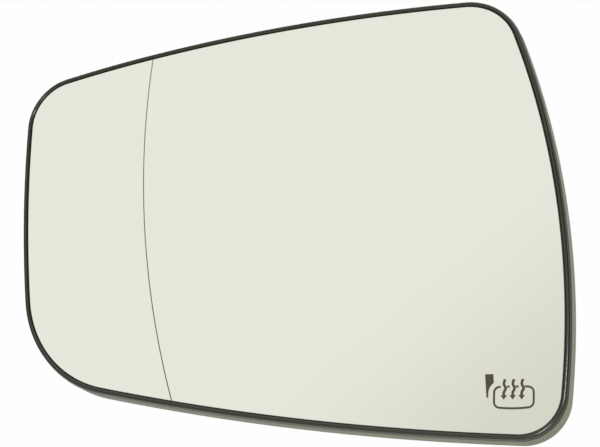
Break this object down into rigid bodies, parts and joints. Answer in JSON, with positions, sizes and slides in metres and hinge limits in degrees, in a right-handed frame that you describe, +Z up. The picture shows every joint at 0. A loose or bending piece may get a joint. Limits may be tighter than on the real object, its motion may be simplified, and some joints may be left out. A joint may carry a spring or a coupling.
{
  "type": "car door mirror glass",
  "caption": "Heated convex door mirror glass with a dividing line for its wide-angle zone, bonded into a moulded backing plate with a clip-in socket.",
  "frame": {"origin": "middle of the flat seat disc on the back of the backing plate, which bears on the mirror's actuator", "axes": "+Z up and +X inboard as it hangs on the left side of a car; the mirror faces along -Y and the socket opens along +Y"},
  "size_m": [0.1797, 0.0135, 0.142],
  "materials": {
    "plate_plastic": "moulded black plastic, glossy on the bead and fine-grained on the skirt",
    "mirror_coating": "polished glass with a silvered back",
    "line_ink": "thin printed line",
    "symbol_ink": "printed mark",
    "film": "amber carrier film",
    "track_metal": "etched foil",
    "foam": "closed-cell foam",
    "terminal_metal": "tinned brass strip",
    "rivet_metal": "brass, bright on the crown"
  },
  "bodies": {
    "root": {"backing_plate": "plate_plastic", "mirror_glass": "mirror_coating", "dividing_line": "line_ink", "heater_symbol": "symbol_ink", "heater_film": "film", "heater_track": "track_metal", "foam_pad": "foam", "terminal_outboard": "terminal_metal", "terminal_inboard": "terminal_metal", "terminal_rivets": "rivet_metal"}
  },
  "joints": []
}
